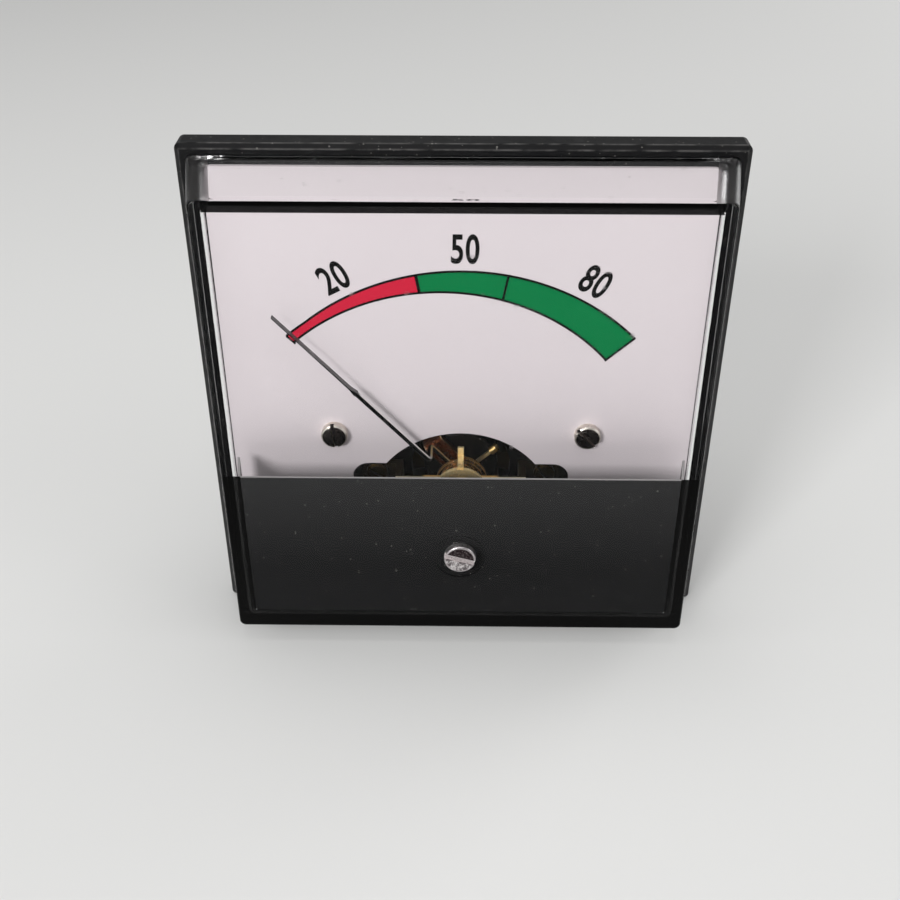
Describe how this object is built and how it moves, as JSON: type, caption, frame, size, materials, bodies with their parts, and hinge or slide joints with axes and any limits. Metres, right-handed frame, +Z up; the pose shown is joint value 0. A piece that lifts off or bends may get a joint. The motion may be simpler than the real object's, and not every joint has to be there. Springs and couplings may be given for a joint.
{
  "type": "panel meter",
  "caption": "Moving-coil panel meter with a clear tapered cover, white dial with a red and green band, zero screw, round rear barrel, mounting studs and terminals.",
  "frame": {"origin": "on the barrel axis, on the back of the flange that bears on the panel, at the centre of the four mounting studs", "axes": "+X to the right seen from the front, +Y to the back along the barrel, +Z up"},
  "size_m": [0.1016, 0.0742, 0.1038],
  "materials": {
    "base_housing": "moulded black phenolic, semi-gloss",
    "front_cover": "clear acrylic",
    "lower_mask": "dark grey moulded plastic, satin",
    "cover_screws": "zinc plated",
    "zero_adjust_screw": "nickel plated, worn",
    "zero_screw_retainer": "spring steel",
    "dial_plate": "white enamel with a printed band",
    "dial_screws": "nickel plated brass",
    "dial_posts": "turned brass",
    "movement_frame": "die cast",
    "movement_screws": "zinc plated",
    "yoke_ring": "blackened soft iron",
    "yoke_screws": "zinc plated",
    "core_magnet": "cast magnet alloy, ground",
    "core_spacers": "brass",
    "bridge_pillars": "turned brass",
    "front_bridge": "bent brass strip",
    "bridge_screws": "brass",
    "front_jewel_screw": "brass",
    "front_lock_nut": "brass",
    "zero_corrector_arm": "stamped brass, bright",
    "front_hairspring": "phosphor bronze strip",
    "rear_bridge": "bent brass strip",
    "rear_bridge_screws": "zinc plated",
    "rear_jewel_screw": "brass",
    "rear_lock_nut": "brass",
    "rear_spring_abutment": "stamped brass",
    "rear_hairspring": "phosphor bronze strip",
    "coil_frame": "thin aluminium former",
    "coil_winding": "enamelled copper wire",
    "front_pivot": "hardened steel",
    "rear_pivot": "hardened steel",
    "pointer": "aluminium wire and blade, lower side black",
    "balance_cross": "stamped aluminium",
    "balance_weights": "wound sleeves",
    "pointer_stops": "steel pins",
    "terminal_studs": "threaded brass",
    "terminal_nuts": "brass",
    "terminal_washers": "brass",
    "solder_lugs": "tinned brass",
    "lead_wires": "insulated hook-up wire",
    "mounting_studs": "zinc plated, threaded",
    "mounting_nuts": "zinc plated",
    "mounting_washers": "zinc plated"
  },
  "bodies": {
    "meter_body": {"base_housing": "base_housing", "front_cover": "front_cover", "lower_mask": "lower_mask", "cover_screws": "cover_screws", "dial_plate": "dial_plate", "dial_screws": "dial_screws", "dial_posts": "dial_posts", "movement_frame": "movement_frame", "movement_screws": "movement_screws", "yoke_ring": "yoke_ring", "yoke_screws": "yoke_screws", "core_magnet": "core_magnet", "core_spacers": "core_spacers", "bridge_pillars": "bridge_pillars", "front_bridge": "front_bridge", "bridge_screws": "bridge_screws", "front_jewel_screw": "front_jewel_screw", "front_lock_nut": "front_lock_nut", "rear_bridge": "rear_bridge", "rear_bridge_screws": "rear_bridge_screws", "rear_jewel_screw": "rear_jewel_screw", "rear_lock_nut": "rear_lock_nut", "rear_spring_abutment": "rear_spring_abutment", "pointer_stops": "pointer_stops", "terminal_studs": "terminal_studs", "terminal_nuts": "terminal_nuts", "terminal_washers": "terminal_washers", "solder_lugs": "solder_lugs", "lead_wires": "lead_wires", "mounting_studs": "mounting_studs", "mounting_nuts": "mounting_nuts", "mounting_washers": "mounting_washers"},
    "zero_screw": {"zero_adjust_screw": "zero_adjust_screw", "zero_screw_retainer": "zero_screw_retainer"},
    "corrector": {"zero_corrector_arm": "zero_corrector_arm"},
    "moving_coil": {"coil_frame": "coil_frame", "coil_winding": "coil_winding", "front_pivot": "front_pivot", "rear_pivot": "rear_pivot", "pointer": "pointer", "balance_cross": "balance_cross", "balance_weights": "balance_weights", "front_hairspring": "front_hairspring", "rear_hairspring": "rear_hairspring"}
  },
  "joints": [
    {"name": "pointer_swing", "type": "hinge", "parent": "meter_body", "child": "moving_coil", "pos_m": [0, 0, -0.0123], "axis": [0, 1, 0], "range_deg": [-6.7, 91.3], "stiffness_Nm_per_rad": 0.000015, "deforming": ["front_hairspring", "rear_hairspring"]},
    {"name": "zero_screw_turn", "type": "hinge", "parent": "meter_body", "child": "zero_screw", "pos_m": [0, -0.0194, -0.0224], "axis": [0, 1, 0], "range_deg": [-30, 30]},
    {"name": "corrector_swing", "type": "hinge", "parent": "meter_body", "child": "corrector", "pos_m": [0, -0.0085, -0.0123], "axis": [0, 1, 0], "range_deg": [-5.6, 5.6]}
  ],
  "couplings": [
    {"joint": "corrector_swing", "follows": "zero_screw_turn", "ratio": -0.18}
  ]
}
